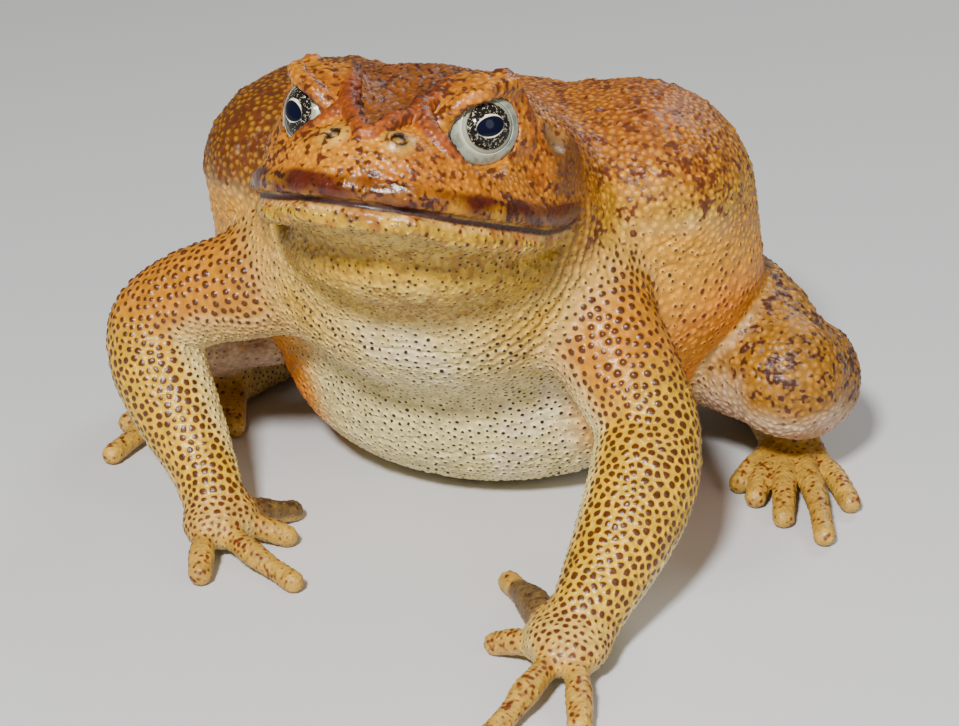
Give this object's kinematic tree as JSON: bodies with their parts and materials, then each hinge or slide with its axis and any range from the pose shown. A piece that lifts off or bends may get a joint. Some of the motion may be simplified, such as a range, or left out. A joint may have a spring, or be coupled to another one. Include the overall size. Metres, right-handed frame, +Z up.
{
  "type": "cane toad",
  "caption": "Large warty toad sitting up on its front limbs, head raised, hind legs folded under a broad body.",
  "frame": {"origin": "middle of the flat under the belly, on the floor plane", "axes": "+Z up, the toad faces -Y, its left side is +X; the belly flat faces -Z"},
  "size_m": [0.187, 0.2107, 0.1197],
  "materials": {
    "skin": "moist, warty, semi-gloss",
    "eyeball": "wet gloss",
    "eyelid": "moist, smooth"
  },
  "bodies": {
    "root": {"head": "skin", "torso": "skin", "eye_l": "eyeball", "eyelid_l": "eyelid", "upper_arm_l": "skin", "forearm_l": "skin", "hand_l": "skin", "finger_1_l": "skin", "finger_2_l": "skin", "finger_3_l": "skin", "finger_4_l": "skin", "thigh_l": "skin", "shank_l": "skin", "foot_l": "skin", "toe_1_l": "skin", "toe_2_l": "skin", "toe_3_l": "skin", "toe_4_l": "skin", "toe_5_l": "skin", "eye_r": "eyeball", "eyelid_r": "eyelid", "upper_arm_r": "skin", "forearm_r": "skin", "hand_r": "skin", "finger_1_r": "skin", "finger_2_r": "skin", "finger_3_r": "skin", "finger_4_r": "skin", "thigh_r": "skin", "shank_r": "skin", "foot_r": "skin", "toe_1_r": "skin", "toe_2_r": "skin", "toe_3_r": "skin", "toe_4_r": "skin", "toe_5_r": "skin"}
  },
  "joints": []
}
